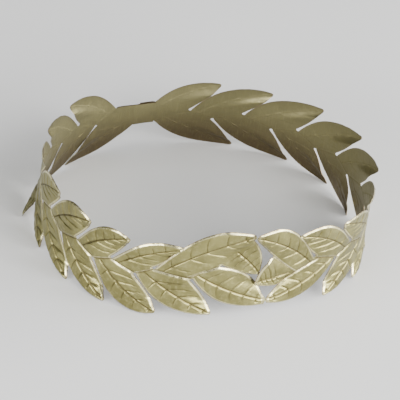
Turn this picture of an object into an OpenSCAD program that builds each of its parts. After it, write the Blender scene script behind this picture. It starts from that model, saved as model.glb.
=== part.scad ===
// Laurel wreath crown: two stamped branches of thin brass sheet, bent round an oval.
// Each branch is first drawn flat, as u along its stem from the back seam and v across it,
// towards its leading row of leaves. The flat drawing is then bent round the oval.
// X points to the right branch, Y to the back and Z up. The lower leaf tips stand on Z = 0.

/* [Ring] */
// Half the width of the ring that the stems follow
ring_half_w = 98; // [85:1:112]
// Half the depth of that ring, from front to back
ring_half_d = 87; // [76:1:100]
// How much fuller than an ellipse the ring is between its four ends
ring_fullness = 0.024; // [0:0.002:0.04]
// How far the front of the ring is pressed in
front_flat = 4; // [0:0.5:8]
// How far the front of the ring is raised
front_rise = 5; // [0:0.5:12]
// Length of ring, each side of the front, that is pressed in and raised
front_reach = 118; // [90:1:150]

/* [Sheet] */
// Thickness of the brass sheet
sheet_t = 0.8; // [0.6:0.1:1.4]
// Gap between the two branches where one lies over the other
lap_gap = 0.3; // [0.2:0.1:0.6]
// Length of the right branch that is hidden behind the tab
back_lap = 10; // [6:1:14]

/* [Stem and tab] */
// Width of the stem between the upper and the lower slots
stem_w = 7.4; // [5:0.2:10]
// Height of the plain tab at the back
tab_h = 14.3; // [10:0.5:18]
// Length of the tab along its upper edge
tab_top_l = 27; // [22:1:32]
// Length of the tab along its lower edge
tab_bottom_l = 14; // [10:1:20]

/* [Leaves] */
// Height of the wreath, from the lower tips to the tallest upper tips at the sides
wreath_h = 50; // [42:1:60]
// Width of the slot between two leaves, where it starts at the stem
slot_w = 2.2; // [1.6:0.1:3]
// Width of a leaf's blunt tip
tip_w = 2; // [1.2:0.1:2.6]
// How far the edges of a leaf are curled in behind its midrib
leaf_curl = 1.5; // [0:0.1:2.5]
// How far the upper tips lean out from the stem
lean_top = 1.5; // [0:0.5:5]
// How far the lower tips lean out from the stem
lean_bottom = 3; // [0:0.5:6]

/* [Relief] */
// Width of the groove along the midrib
rib_w = 1.6; // [1:0.1:2.4]
// Depth of the groove along the midrib
rib_d = 0.4; // [0.1:0.05:0.5]
// Depth of the grooves of the side veins
vein_d = 0.3; // [0.1:0.05:0.5]

/* [Hidden] */

// The two sheets are the same stamping, one turned over: 1 is the right one, -1 the left one
RIGHT = 1;
LEFT = -1;

// Rows and columns of the net of points on a leaf. Every second row is a side vein.
rows = 10;
cols = 6;

// Leaves, from the back to the front. Places are shares of half the ring's length and heights
// are shares of wreath_h. At a row's last leaf, SLOT is where its foot ends.
SLOT = 0;   // where the slot after the leaf starts
TIP = 1;    // where the tip is
HEIGHT = 2; // how high the tip is
SWELL = 3;  // how far the broad edge reaches past the tip, as a share of the leaf's rise
BELLY = 4;  // how far the narrow edge bows out, as a share of its length
BENT = 5;   // how far the tip is bent out, or in where negative, as a share of the leaf's rise
BLUNT = 6;  // where given, how many times tip_w the tip is wide. A blunter tip is cut squarer.

RIGHT_UPPER = [
    [0.079, 0.133, 0.90, 0.15, 0.05, 0.00], [0.192, 0.242, 0.90, 0.07, 0.05, 0.00],
    [0.313, 0.359, 0.98, -0.15, 0.05, 0.00], [0.423, 0.474, 1.01, -0.05, 0.05, 0.08],
    [0.536, 0.583, 1.01, 0.10, 0.05, 0.08], [0.647, 0.693, 1.00, 0.00, 0.05, 0.00],
    [0.760, 0.803, 0.97, 0.20, 0.05, 0.00], [0.872, 0.918, 0.98, 0.50, 0.05, 0.00],
    [0.912, 1.017, 1.10, 0.30, 0.05, 0.07, 2.2]];
RIGHT_LOWER = [
    [0.129, 0.175, 0.00, 0.00, 0.05, 0.00], [0.255, 0.295, 0.00, 0.00, 0.05, 0.00],
    [0.363, 0.400, 0.00, 0.00, 0.05, 0.00], [0.470, 0.510, 0.00, 0.00, 0.05, -0.20],
    [0.582, 0.620, 0.00, 0.00, 0.05, 0.00], [0.696, 0.735, 0.00, 0.00, 0.05, 0.00],
    [0.809, 0.835, 0.00, 0.00, 0.05, 0.00], [0.860, 0.972, 0.08, 0.30, 0.07, 0.00, 2.6]];
LEFT_LOWER = [
    [0.139, 0.200, 0.00, 0.00, 0.05, 0.00], [0.243, 0.297, 0.00, 0.00, 0.05, 0.00],
    [0.348, 0.400, 0.00, 0.00, 0.05, 0.19], [0.453, 0.499, 0.00, 0.00, 0.05, 0.00],
    [0.559, 0.605, 0.00, 0.00, 0.05, 0.00], [0.658, 0.699, 0.00, 0.00, 0.05, 0.00],
    [0.754, 0.803, 0.00, 0.20, 0.05, 0.00], [0.868, 0.911, 0.00, 0.00, 0.05, 0.00],
    [0.920, 1.022, 0.07, 0.15, 0.25, 0.00, 3.4]];
LEFT_UPPER = [
    [0.191, 0.221, 0.96, 0.25, 0.05, 0.00], [0.295, 0.320, 0.95, 0.20, 0.05, 0.00],
    [0.400, 0.430, 0.97, 0.10, 0.05, 0.00], [0.506, 0.541, 0.99, 0.20, 0.05, 0.00],
    [0.611, 0.641, 0.97, 0.50, 0.05, 0.00], [0.701, 0.732, 0.95, 0.50, 0.05, 0.00],
    [0.790, 0.847, 0.92, 0.50, 0.05, 0.00], [0.860, 0.979, 1.09, 0.42, 0.08, 0.00, 2.2]];

// The leaf at the end of each branch: place and height of its tip, how far its two edges bow
// out towards the leading and the trailing row, as shares of their length, and how many
// rows of the last trailing and of the last leading leaf its foot stands on
END_TIP = 0;
END_HEIGHT = 1;
END_LEAD_BOW = 2;
END_TRAIL_BOW = 3;
END_FOOT = 4;
END_LEAD_FOOT = 5;
RIGHT_END = [1.003, 0.40, 0.12, 0.10, 7, 5];
LEFT_END = [1.003, 0.48, 0.06, 0.16, 10, 0];

// Height of each stem at the back and at the front, and of the tab's middle, as shares
RIGHT_STEM = [0.445, 0.545];
LEFT_STEM = [0.54, 0.53];
TAB_MIDDLE = 0.51;

// Where a midrib leaves the leaf's foot, and how far a midrib bows, as shares
rib_start = 0.27;
rib_bow = 0.03;

function ease(x) = let (k = min(1, max(0, x))) k * k * (3 - 2 * k);
function mix(p, q, k) = p + (q - p) * k;
function unit(p) = p / norm(p);
function flat(lists) = [for (list = lists) for (item = list) item];
function reversed(list) = [for (i = [len(list) - 1 : -1 : 0]) list[i]];

// A curve from p to q that bows to the left of its chord, or to the right where bow is negative
function bowed(p, q, bow, k) =
    let (chord = q - p, side = bow * [-chord.y, chord.x])
    p + chord * k + side * 3 * k * (1 - k);

// The oval and the running length along it
function oval(a) =
    (1 + ring_fullness * pow(sin(2 * a), 2)) * [ring_half_w * sin(a), ring_half_d * cos(a)];
oval_step = 2;
oval_run = [
    for (a = 0, run = 0; a <= 200; run = run + norm(oval(a + oval_step) - oval(a)), a = a + oval_step)
        [run, a]];
half_ring = oval_run[180 / oval_step][0];
function oval_angle(u) = sign(u) * lookup(abs(u), oval_run);

// 1 at the front of the ring, falling to 0 at front_reach from it
function front_share(u) = (1 + cos(180 * min(1, abs(half_ring - u) / front_reach))) / 2;

// Height of a stem, and the flat v of a height
function stem_z(side, u) =
    let (stem = side == RIGHT ? RIGHT_STEM : LEFT_STEM)
    wreath_h * mix(stem[0], stem[1], ease(u / half_ring));
function v_at(side, u, z) = side * (z - stem_z(side, u));

// How far out a point lies. The tips lean out, and the left branch passes inside the right one
// at the tab. Over a short ramp beyond the lap it steps out again.
lap_step = sheet_t + lap_gap;
lap_rest = 2;
lap_ramp = 12;
function lean(z) =
    let (share = 2 * z / wreath_h - 1)
    (share > 0 ? lean_top : lean_bottom) * share * share;
function tab_step(side, u) = side == RIGHT ? 0 : -lap_step * (1 - ease((u - back_lap - lap_rest) / lap_ramp));

// A point of the flat drawing, [u, v, out], in its place on the ring
function bend(side, p) =
    let (
        a = oval_angle(p[0]),
        along = unit(oval(a + 0.5) - oval(a - 0.5)),
        z = stem_z(side, p[0]) + side * p[1],
        out = p[2] + lean(z) + tab_step(side, p[0]),
        place = oval(a) + [-along.y, along.x] * out,
        front = front_share(p[0]))
    [side * place.x, place.y + front_flat * front, z + front_rise * front];

// A leaf of the leading row. Its foot lies between far and near, and its blunt tip between
// tip and near_tip.
function near_tip(tip, leaf) =
    let (blunt = len(leaf) > BLUNT ? leaf[BLUNT] : 1)
    tip + tip_w * [0.45 * (2 - blunt), -0.9 * blunt];
function broad_edge(far, tip, swell, k) =
    let (l = tip.x - far.x, h = tip.y - far.y, j = 1 - k)
    j * j * j * far + 3 * j * j * k * (far + [0.235 * l, 0.68 * h])
    + 3 * j * k * k * (tip + [-0.5 * l, swell * h]) + k * k * k * tip;
function narrow_edge(near, tip, leaf, k) = bowed(near, near_tip(tip, leaf), -leaf[BELLY], k);
function midrib(far, near, tip, leaf, k) =
    bowed(mix(far, near, rib_start), mix(tip, near_tip(tip, leaf), 0.5),
        rib_bow + 0.12 * leaf[SWELL], k);

// Where a column of the net lies between the midrib, 0, and an edge, 1
function column_share(c, half_width) =
    let (k = abs(c - cols / 2))
    k == 1 ? min(0.3, rib_w / 2 / max(half_width, rib_w)) : k == 2 ? 0.55 : k / 3;

// How far in a point at distance d from the midrib is curled, and the relief on it
curl_width = 10;
function curl(r, d) = -leaf_curl * ease(1.5 * r / rows) * pow(min(d, curl_width) / curl_width, 2);
function relief(r, c) =
    let (k = abs(c - cols / 2))
    r == 0 || r == rows || k == 3 ? 0 : k == 0 ? -rib_d : r % 2 == 1 ? -vein_d : 0;

// A row of the net across the leaf, as points [u, v, out, relief]
function net_row(r, edge_a, rib, edge_b, curled, lift) =
    [for (c = [0 : cols])
        let (
            to_edge = (c < cols / 2 ? edge_a : edge_b) - rib,
            share = column_share(c, norm(to_edge)),
            p = rib + to_edge * share)
        [p.x, p.y, curled * curl(r, norm(to_edge) * share) + lift, relief(r, c)]];

// The side veins run forwards from the midrib, so the rows run ahead on the broad edge
function leaf_net(far, near, leaf, tip) =
    [for (r = [0 : rows])
        let (k = r / rows)
        net_row(r, broad_edge(far, tip, leaf[SWELL], pow(k, 0.65)),
            midrib(far, near, tip, leaf, k), narrow_edge(near, tip, leaf, pow(k, 0.9)),
            1, leaf[BENT] * tip.y * k * k)];

// Feet of the leaves of a row, each [far, near], in a drawing turned so that the row leads
function feet(table, first, last_v) =
    [for (i = [0 : len(table) - 1])
        let (slot_u = table[i][SLOT] * half_ring)
        [i == 0 ? first : [table[i - 1][SLOT] * half_ring + slot_w / 2, stem_w / 2],
         i == len(table) - 1 ? [slot_u, last_v] : [slot_u - slot_w / 2, stem_w / 2]]];

// The nets of a row. The trailing row's are turned back over, with their columns in reverse, so
// that all nets wind the same way.
function row_nets(side, table, lead, row_feet) =
    [for (i = [0 : len(table) - 1])
        let (
            u = table[i][TIP] * half_ring,
            tip = [u, lead * v_at(side, u, table[i][HEIGHT] * wreath_h)],
            net = leaf_net(row_feet[i][0], row_feet[i][1], table[i], tip))
        lead == 1 ? net
                  : [for (line = net) [for (p = reversed(line)) [p[0], -p[1], p[2], p[3]]]]];

// Round ends of the slots between the leaves of a row
function slot_ends(table, lead) =
    flat([for (i = [0 : len(table) - 2])
        [for (a = [150, 90, 30])
            let (r = slot_w / 2)
            [table[i][SLOT] * half_ring + r * cos(a), lead * (stem_w / 2 - r * sin(a)), 0, 0]]]);

// The net of the leaf at the end, between the row of points a and b of its foot and its tip
function end_net(side, end, a, b) =
    let (
        u = end[END_TIP] * half_ring,
        tip = [u, v_at(side, u, end[END_HEIGHT] * wreath_h)])
    [for (r = [0 : rows])
        let (
            k = r / rows,
            edge_a = bowed(a, tip, end[END_LEAD_BOW], k),
            edge_b = bowed(b, tip + tip_w * [0.2, -1], -end[END_TRAIL_BOW], k))
        net_row(r, edge_a, mix(edge_a, edge_b, 0.5), edge_b, 0,
            side == RIGHT ? lap_step * ease(4 * r / rows) : 0)];

// Triangles between two lines of point numbers, low below high, that both run forwards
function zip(points, low, high) =
    let (
        l = len(low) - 1,
        h = len(high) - 1,
        low_next = function (i, j) j == h || (i < l && points[low[i + 1]][0] <= points[high[j + 1]][0]))
    [for (i = 0, j = 0, go = low_next(0, 0);
          i < l || j < h;
          i = go ? i + 1 : i, j = go ? j : j + 1, go = low_next(i, j))
        go ? [low[i], low[i + 1], high[j]] : [low[i], high[j + 1], high[j]]];

// The sheet of one branch, as the points and the faces of a solid. The inner face takes half
// of the relief.
function sheet(side) = let (
    leading = side == RIGHT ? RIGHT_UPPER : LEFT_LOWER,
    trailing = side == RIGHT ? RIGHT_LOWER : LEFT_UPPER,
    end = side == RIGHT ? RIGHT_END : LEFT_END,
    tab_top = TAB_MIDDLE * wreath_h + tab_h / 2,
    tab_bottom = TAB_MIDDLE * wreath_h - tab_h / 2,

    // The tab, or the part hidden behind it, from its end to the first leaves
    from = side == RIGHT ? -back_lap : 0,
    top_to = side == RIGHT ? 0 : tab_top_l,
    bottom_to = side == RIGHT ? 1 : tab_bottom_l,
    lead_to = side == RIGHT ? top_to : bottom_to,
    trail_to = side == RIGHT ? bottom_to : top_to,
    lead_z = side == RIGHT ? tab_top : tab_bottom,
    trail_z = side == RIGHT ? tab_bottom : tab_top,
    steps = 5,
    lead_start = [for (i = [0 : steps - 1])
        let (u = mix(from, lead_to, i / steps)) [u, v_at(side, u, lead_z), 0, 0]],
    trail_start = [for (i = [0 : steps - 1])
        let (u = mix(from, trail_to, i / steps)) [u, v_at(side, u, trail_z), 0, 0]],

    lead_feet = feet(leading, [lead_to, v_at(side, lead_to, lead_z)], -0.75 * stem_w),
    trail_feet = feet(trailing, [trail_to, -v_at(side, trail_to, trail_z)], -0.2 * stem_w),
    lead_nets = row_nets(side, leading, 1, lead_feet),
    trail_nets = row_nets(side, trailing, -1, trail_feet),

    // The end leaf stands on the narrow edges of the last two leaves, behind a short cut
    foot = end[END_FOOT],
    lead_foot = end[END_LEAD_FOOT],
    cut = slot_w / 2,
    foot_a = lead_nets[len(leading) - 1][lead_foot][cols],
    foot_b = trail_nets[len(trailing) - 1][foot][0],
    end_leaf = end_net(side, end, [foot_a[0] + 0.8 * cut, foot_a[1] - 0.8 * cut],
        [foot_b[0] + 0.6 * cut, foot_b[1] + 0.8 * cut]),
    end_cut = [foot_a[0] + 0.1 * cut, foot_a[1] - 0.7 * cut, 0, 0],

    nets = concat(lead_nets, trail_nets, [end_leaf]),
    lead_slots = slot_ends(leading, 1),
    trail_slots = slot_ends(trailing, -1),
    points = concat(flat([for (net = nets) flat(net)]),
        lead_slots, trail_slots, lead_start, trail_start, [end_cut]),

    // Numbers of the points
    n = len(points),
    line = cols + 1,
    per_leaf = (rows + 1) * line,
    lead_slot_0 = len(nets) * per_leaf,
    trail_slot_0 = lead_slot_0 + len(lead_slots),
    lead_start_0 = trail_slot_0 + len(trail_slots),
    trail_start_0 = lead_start_0 + steps,
    end_cut_0 = trail_start_0 + steps,
    last_lead = len(leading) - 1,
    last_trail = len(nets) - 2,
    end_0 = (len(nets) - 1) * per_leaf,

    lead_line = concat(
        [for (i = [0 : steps - 1]) lead_start_0 + i],
        flat([for (i = [0 : last_lead]) concat(
            [for (c = [0 : cols]) i * per_leaf + c],
            i < last_lead ? [for (s = [0 : 2]) lead_slot_0 + 3 * i + s] : [])]),
        [for (r = [1 : 1 : lead_foot]) last_lead * per_leaf + r * line + cols],
        [end_cut_0],
        [for (c = [0 : cols]) end_0 + c]),
    trail_line = concat(
        [for (i = [0 : steps - 1]) trail_start_0 + i],
        flat([for (i = [0 : len(trailing) - 1]) concat(
            [for (c = [cols : -1 : 0]) (last_lead + 1 + i) * per_leaf + c],
            i < len(trailing) - 1 ? [for (s = [0 : 2]) trail_slot_0 + 3 * i + s] : [])]),
        [for (r = [1 : foot]) last_trail * per_leaf + r * line]),

    // The outline, anticlockwise on the flat drawing
    outline = concat(
        [for (i = [0 : steps - 1]) trail_start_0 + i],
        flat([for (i = [0 : len(trailing) - 1])
            let (leaf_0 = (last_lead + 1 + i) * per_leaf, last = i == len(trailing) - 1)
            concat(
                [for (r = [0 : rows]) leaf_0 + r * line + cols],
                [for (c = [cols - 1 : -1 : 0]) leaf_0 + rows * line + c],
                [for (r = [rows - 1 : -1 : last ? foot : 0]) leaf_0 + r * line],
                last ? [] : [for (s = [0 : 2]) trail_slot_0 + 3 * i + s])]),
        [for (r = [0 : rows]) end_0 + r * line + cols],
        [for (c = [cols - 1 : -1 : 0]) end_0 + rows * line + c],
        [for (r = [rows - 1 : -1 : 0]) end_0 + r * line],
        [end_cut_0],
        flat([for (i = [last_lead : -1 : 0])
            let (leaf_0 = i * per_leaf)
            concat(
                i < last_lead ? [for (s = [2 : -1 : 0]) lead_slot_0 + 3 * i + s] : [],
                [for (r = [i < last_lead ? 0 : lead_foot : rows]) leaf_0 + r * line + cols],
                [for (c = [cols - 1 : -1 : 0]) leaf_0 + rows * line + c],
                [for (r = [rows - 1 : -1 : 0]) leaf_0 + r * line])]),
        [for (i = [steps - 1 : -1 : 0]) lead_start_0 + i]),

    // Triangles of the outer face; the inner face and the sheet's edge follow from them
    outer = concat(
        flat([for (leaf = [0 : len(nets) - 1]) for (r = [0 : rows - 1]) for (c = [0 : cols - 1])
            let (a = leaf * per_leaf + r * line + c, b = a + 1, d = a + line, e = d + 1)
            c < cols / 2 ? [[a, b, d], [b, e, d]] : [[a, b, e], [a, e, d]]]),
        zip(points, trail_line, lead_line)),
    inner = [for (t = outer) [t[2] + n, t[1] + n, t[0] + n]],
    edge = flat([for (i = [0 : len(outline) - 1])
        let (a = outline[i], b = outline[(i + 1) % len(outline)])
        [[b, a, a + n], [b, a + n, b + n]]]))
    [concat(
        [for (p = points) bend(side, [p[0], p[1], p[2] + p[3]])],
        [for (p = points) bend(side, [p[0], p[1], p[2] + p[3] / 2 - sheet_t])]),
     concat(outer, inner, edge)];

// Both sheets are moved together, so that the origin is at the middle of their base
RIGHT_SHEET = sheet(RIGHT);
LEFT_SHEET = sheet(LEFT);
all_points = concat(RIGHT_SHEET[0], LEFT_SHEET[0]);
low = [for (k = [0 : 2]) min([for (p = all_points) p[k]])];
high = [for (k = [0 : 2]) max([for (p = all_points) p[k]])];
origin = [(low.x + high.x) / 2, (low.y + high.y) / 2, low.z];

module solid(sheet)
    polyhedron(points = [for (p = sheet[0]) p - origin], faces = sheet[1], convexity = 10);

module right_branch() color("#a89d6c") solid(RIGHT_SHEET);
module left_branch() color("#9c9163") solid(LEFT_SHEET);

right_branch();
left_branch();
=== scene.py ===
"""Looks of the laurel wreath crown: two stamped branches of thin brass sheet.

Each branch is drawn flat, as u along its stem from the back seam and v across it towards the
leading row of leaves, and then bent round the oval, as in the CAD source. Lengths are in mm
until a mesh is made.
"""

import math
from collections import namedtuple

import bpy
import numpy as np
from mathutils import Matrix, Vector
from mathutils.geometry import delaunay_2d_cdt


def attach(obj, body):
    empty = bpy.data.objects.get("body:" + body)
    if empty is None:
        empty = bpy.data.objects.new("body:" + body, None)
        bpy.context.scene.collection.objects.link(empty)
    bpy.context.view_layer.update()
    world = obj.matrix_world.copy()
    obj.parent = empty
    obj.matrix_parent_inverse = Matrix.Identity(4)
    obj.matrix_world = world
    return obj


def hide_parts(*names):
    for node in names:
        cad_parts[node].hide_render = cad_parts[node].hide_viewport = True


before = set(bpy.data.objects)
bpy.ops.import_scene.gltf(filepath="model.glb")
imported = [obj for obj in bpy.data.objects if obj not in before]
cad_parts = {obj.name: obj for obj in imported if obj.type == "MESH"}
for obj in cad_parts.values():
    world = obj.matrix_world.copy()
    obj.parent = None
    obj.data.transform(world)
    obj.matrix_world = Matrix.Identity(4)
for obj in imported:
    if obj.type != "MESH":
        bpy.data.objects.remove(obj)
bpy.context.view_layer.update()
MM = 0.001

# Sizes that the CAD source has too. Two differ: there the belly of the left branch's last
# leading leaf is 0.25, and the midribs of the end leaves start in the middle.
RING_HALF_W, RING_HALF_D, RING_FULLNESS = 98.0, 87.0, 0.024
FRONT_FLAT, FRONT_RISE, FRONT_REACH = 4.0, 5.0, 118.0
SHEET_T, LAP_GAP, BACK_LAP = 0.8, 0.3, 10.0
STEM_W, TAB_H, TAB_TOP_L, TAB_BOTTOM_L = 7.4, 14.3, 27.0, 14.0
WREATH_H, SLOT_W, TIP_W, LEAF_CURL = 50.0, 2.2, 2.0, 1.5
LEAN_TOP, LEAN_BOTTOM = 1.5, 3.0
RIB_START, RIB_BOW, RIB_BOW_SWELL = 0.27, 0.03, 0.12
CURL_WIDTH = 10.0
LAP_STEP = SHEET_T + LAP_GAP
LAP_REST, LAP_RAMP = 2.0, 12.0
RIGHT, LEFT = 1, -1
STEM_Z = {RIGHT: (0.445, 0.545), LEFT: (0.54, 0.53)}  # heights at the back and the front
TAB_MIDDLE = 0.51

# Leaves from the back to the front: end of the leaf's foot, place and height of its tip, swell
# of the broad edge, belly of the narrow edge and how far the tip is bent out, all as shares,
# and at a blunt tip how many times TIP_W it is wide
Leaf = namedtuple(
    "Leaf", "foot_end tip_place tip_height swell belly bent blunt", defaults=[1.0])


def leaf_table(*rows):
    return [Leaf(*row) for row in rows]


LEADING = {
    RIGHT: leaf_table(
        (0.079, 0.133, 0.90, 0.15, 0.05, 0.00), (0.192, 0.242, 0.90, 0.07, 0.05, 0.00),
        (0.313, 0.359, 0.98, -0.15, 0.05, 0.00), (0.423, 0.474, 1.01, -0.05, 0.05, 0.08),
        (0.536, 0.583, 1.01, 0.10, 0.05, 0.08), (0.647, 0.693, 1.00, 0.00, 0.05, 0.00),
        (0.760, 0.803, 0.97, 0.20, 0.05, 0.00), (0.872, 0.918, 0.98, 0.50, 0.05, 0.00),
        (0.912, 1.017, 1.10, 0.30, 0.05, 0.07, 2.2)),
    LEFT: leaf_table(
        (0.139, 0.200, 0.00, 0.00, 0.05, 0.00), (0.243, 0.297, 0.00, 0.00, 0.05, 0.00),
        (0.348, 0.400, 0.00, 0.00, 0.05, 0.19), (0.453, 0.499, 0.00, 0.00, 0.05, 0.00),
        (0.559, 0.605, 0.00, 0.00, 0.05, 0.00), (0.658, 0.699, 0.00, 0.00, 0.05, 0.00),
        (0.754, 0.803, 0.00, 0.20, 0.05, 0.00), (0.868, 0.911, 0.00, 0.00, 0.05, 0.00),
        (0.920, 1.022, 0.07, 0.15, 0.18, 0.00, 3.4))}
TRAILING = {
    RIGHT: leaf_table(
        (0.129, 0.175, 0.00, 0.00, 0.05, 0.00), (0.255, 0.295, 0.00, 0.00, 0.05, 0.00),
        (0.363, 0.400, 0.00, 0.00, 0.05, 0.00), (0.470, 0.510, 0.00, 0.00, 0.05, -0.20),
        (0.582, 0.620, 0.00, 0.00, 0.05, 0.00), (0.696, 0.735, 0.00, 0.00, 0.05, 0.00),
        (0.809, 0.835, 0.00, 0.00, 0.05, 0.00), (0.860, 0.972, 0.08, 0.30, 0.07, 0.00, 2.6)),
    LEFT: leaf_table(
        (0.191, 0.221, 0.96, 0.25, 0.05, 0.00), (0.295, 0.320, 0.95, 0.20, 0.05, 0.00),
        (0.400, 0.430, 0.97, 0.10, 0.05, 0.00), (0.506, 0.541, 0.99, 0.20, 0.05, 0.00),
        (0.611, 0.641, 0.97, 0.50, 0.05, 0.00), (0.701, 0.732, 0.95, 0.50, 0.05, 0.00),
        (0.790, 0.847, 0.92, 0.50, 0.05, 0.00), (0.860, 0.979, 1.09, 0.42, 0.08, 0.00, 2.2))}
# Height on the stem, towards its own row, at which the foot of each row's last leaf ends
LAST_LEAD_V, LAST_TRAIL_V = -0.75 * STEM_W, -0.2 * STEM_W

# Leaf at the branch's end: place and height of its tip, bows of its two edges, where its foot
# ends on the last trailing and on the last leading leaf, and where its midrib starts
EndLeaf = namedtuple(
    "EndLeaf", "tip_place tip_height broad_bow narrow_bow on_trailing on_leading rib_start")
END = {RIGHT: EndLeaf(1.003, 0.40, 0.12, 0.10, 0.7, 0.5, 0.74),
       LEFT: EndLeaf(1.003, 0.48, 0.06, 0.16, 1.0, 0.0, 0.5)}

# Shapes of the edges: handles of the broad edge's curve, and slant and span of a tip's cut
BROAD_HANDLE, TIP_HANDLE = (0.235, 0.68), 0.5
TIP_SLANT, TIP_SPAN, END_TIP_CUT = 0.45, 0.9, np.array([0.2, -1.0])
# The end leaf's foot and the cut before it, from the last leaves' edges, in slot radii
END_FOOT_A, END_FOOT_B, END_CUT = np.array([[0.8, -0.8], [0.6, 0.8], [0.1, -0.7]])

# Nets of the leaves and points of the stem
VEINS = 5  # side veins on each side of a midrib
VEIN_UNEVEN = 0.13  # how unevenly they follow each other, as a share of their spacing
VEIN_BOW = 0.1  # how far they bow, as a share of the half width
BOW_FADE_FOOT, BOW_FADE_TIP = 0.15, 0.12  # shares of the leaf over which the bow fades
# Share of the half width at which they end, how much that varies, and where they fade
VEIN_LEAST, VEIN_SPREAD, VEIN_FADE_AHEAD, VEIN_FADE = 0.5, 0.35, 0.1, 0.28
BROAD_SLANT, NARROW_SLANT = 0.65, 0.66  # the rows slant forwards, as side veins do
CAD_NARROW_SLANT = 0.9
FOOT_SLANT = CAD_NARROW_SLANT / NARROW_SLANT  # turns a share of the CAD's rows into one here
# Rows about each side vein, and columns by their distances from the rib and the edge
VEIN_ROWS = np.array([-0.5, -0.36, -0.23, -0.13, -0.06, 0.0, 0.06, 0.13, 0.23, 0.36])
TIP_ROW = 0.985
RIB_COLUMNS = np.array([0.0, 0.25, 0.5, 0.85, 1.3])
EDGE_COLUMNS = np.array([1.75, 1.3, 0.95, 0.6, 0.3, 0.0])
MIDDLE_COLUMNS = 4
RIB_MOST, EDGE_MOST = 0.35, 0.5  # shares of the width that those columns take at most
# Points over which the slant at an edge is smoothed, its least sine, and the least length in
# mm over which the rows spread
SLANT_SMOOTH, LEAST_SLANT, LEAST_ROW = 7, 0.4, 4.0
TIP_ROUND, TIP_ROUND_FROM = 0.22, 0.94
CURL_PACE = 1.5  # the curl is full at 1 / 1.5 of the leaf
FINE = np.linspace(0, 1, 90)  # shares along a leaf's outline
LEAF_KEYS = 20  # more leaves than a branch has
VEIN_SALT, FADE_SALT, STRENGTH_SALT = 5, 8, 3  # keep the uses of hash_of apart
ARC_ANGLES = np.radians(np.arange(162, 0, -18))  # round end of a slot
ARC_MIDDLE = len(ARC_ANGLES) // 2
STEM_CELL = 0.62  # spacing of the points on the stem
CREASE_SIDES = (-1.2, -0.85, -0.5, -0.2, 0.2, 0.5, 0.95, 1.5)  # rows beside a crease
CREASE_APART, CREASE_SIDES_APART = 0.15, 0.16
START_CLEAR = 0.3  # how far the border's even points end before the first leaf
CHUNKS = 60  # parts in which many points are tested, to save memory
INSIDE_ONLY, MERGE_WITHIN = 1, 1e-5  # settings of the triangulation
GRID_FROM_EDGE, GRID_APART = 0.35, 0.42
GRID_ROWS, GRID_ROWS_AT_END = 20, 40  # rows of points on each side of the stem's middle
GRID_END_FROM, GRID_END = 0.85, 1.01
SHORT_CREASE_ROW = 6  # row of the left long leaf at which its end crease starts
SMOOTH_ROUNDS, SMOOTH_END_SHARE = 1500, 0.7

# Relief that the looks add, in mm
EDGE_DROP = 0.74  # how far the rolled edges lie below the leaf
BROAD_ROLL, NARROW_ROLL, REAR_RISE = 1.15, 1.5, 4.0
RIB_DEPTH, RIB_HALF = 0.45, 0.42
VEIN_DEPTH, VEIN_HALF, VEIN_OFF_RIB = 0.36, 0.36, 0.3
RIB_BEHIND, FIRST_RIB_BEHIND = 8.0, 2.5  # how far a midrib goes on behind its leaf
FLANK = 0.18  # ridges beside the grooves, with their distances and half widths
RIB_FLANK, VEIN_FLANK = (1.05, 0.4), (0.85, 0.34)
PILLOW, PILLOW_REACH = 0.22, 2.6  # crown of the fields between the side veins
TROUGH, TROUGH_REACH = 0.28, 4.5  # hollow along the midrib
FIELD_FROM, FIELD_FADE, REAR_FADE, GROOVE_FADE = 0.9, 1.4, 2.0, 1.5  # fades at the outline
HAMMER, HAMMER_INSIDE = 0.1, 0.4  # unevenness of the sheet, and how much of it shows inside
SOFT_STEP, SOFT_REACH = 0.3, 1.5  # faint line behind the left branch's end leaf
ROLL_INSIDE = 0.02  # share of the rolled edges that shows inside
# The sheet's least thickness under a groove, and how softly it stops there
LEAST_T, LEAST_T_SOFT = 0.04, 0.05
NO_VEIN, NO_LINE, NO_RIM = 9.0, 99.0, 9.0  # distances where there is none
STRENGTH, STRENGTH_SPREAD = 0.8, 0.4  # of a leaf's veins
FLAT_FIELD = 0.3  # share of the crown left beyond the ends of the veins
VEIN_FLANK_SHARE = 0.9
# Tarnish and painted shade at the rib and the veins, painted shade at a leaf's rear and the
# creases, its widths at the last two, and how far it stays from a faint line
DARK_RIB, DARK_VEIN, REAR_PAINTED_SHADE, CREASE_PAINTED_SHADE = 0.9, 0.5, 0.5, 0.9
REAR_SHADE, CREASE_SHADE, SOFT_CLEAR = 0.75, 0.3, 3.0
NEAR_CREASE = 0.05  # a crease at most this much farther than the edge hides its cut rim
# Waves of the unevenness: along, across, phase
WAVES = ((0.31, 0.42, 1.3), (-0.47, 0.36, 4.1), (0.83, -0.29, 2.2), (0.64, 0.91, 5.6),
         (1.21, 0.52, 0.4), (-1.02, 1.13, 3.3), (1.57, -1.31, 1.9))
WAVES_DIVISOR = 3.2  # brings most of their sum between -1 and 1
WARP, WARP_U, WARP_V, SIDE_PHASE = 1.4, 0.23, -0.31, 2.1
EVEN_BACK, EVEN_BACK_FADE = 14.0, 20.0  # lengths at the back that stay even, in mm
EVEN_FRONT, EVEN_FRONT_FADE = 0.9, 0.08  # and at the front, as shares


# Curves and the oval

def ease(x):
    k = np.clip(x, 0.0, 1.0)
    return k * k * (3 - 2 * k)


def bell(x, half):
    return np.exp(-(x / half) ** 2)


def mix(p, q, k):
    return p + (q - p) * k


def bowed(p, q, bow, k):
    """A curve from p to q that bows to the left of its chord."""
    p, q, k = np.asarray(p, float), np.asarray(q, float), np.asarray(k, float)[..., None]
    chord = q - p
    side = bow * np.stack([-chord[..., 1], chord[..., 0]], -1)
    return p + chord * k + side * 3 * k * (1 - k)


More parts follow.
